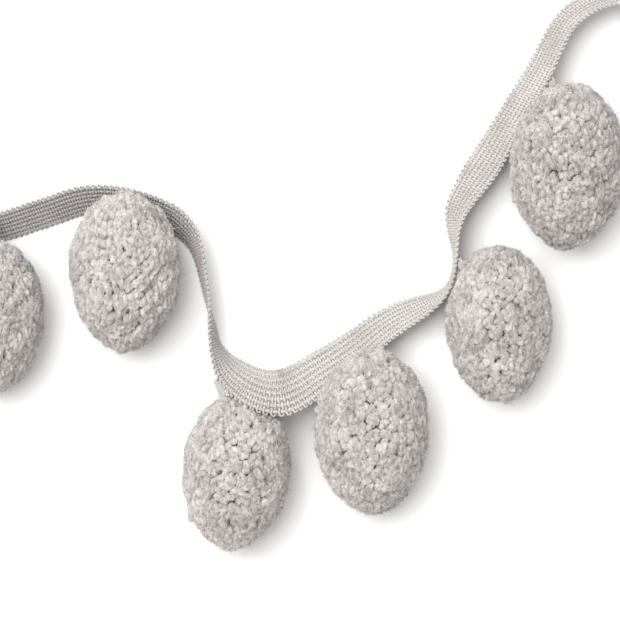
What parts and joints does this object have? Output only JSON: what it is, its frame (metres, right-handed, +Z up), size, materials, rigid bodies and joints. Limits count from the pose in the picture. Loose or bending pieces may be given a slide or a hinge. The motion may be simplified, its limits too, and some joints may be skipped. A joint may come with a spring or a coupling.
{
  "type": "pompom fringe trim",
  "caption": "Length of pompom fringe trim: a narrow woven heading tape with picot edges, lying in loose waves, with oval cut-chenille pompoms tied along one edge.",
  "frame": {"origin": "on the surface the trim lies on, under the middle of its bounding box", "axes": "+X along the trim's overall length from one cut end to the other, +Y away from the hanging ends of the pompoms, +Z up from the surface"},
  "size_m": [0.2088, 0.1624, 0.0323],
  "materials": {
    "tape_weave": "matte woven yarn, warm light grey",
    "chenille_pile": "soft cut chenille pile, warm light grey",
    "tie_yarn": "matte yarn, warm light grey"
  },
  "bodies": {
    "root": {"heading_tape": "tape_weave", "pompom_1": "chenille_pile", "pompom_2": "chenille_pile", "pompom_3": "chenille_pile", "pompom_4": "chenille_pile", "pompom_5": "chenille_pile", "pompom_6": "chenille_pile", "tie_1": "tie_yarn", "tie_2": "tie_yarn", "tie_3": "tie_yarn", "tie_4": "tie_yarn", "tie_5": "tie_yarn", "tie_6": "tie_yarn"}
  },
  "joints": []
}
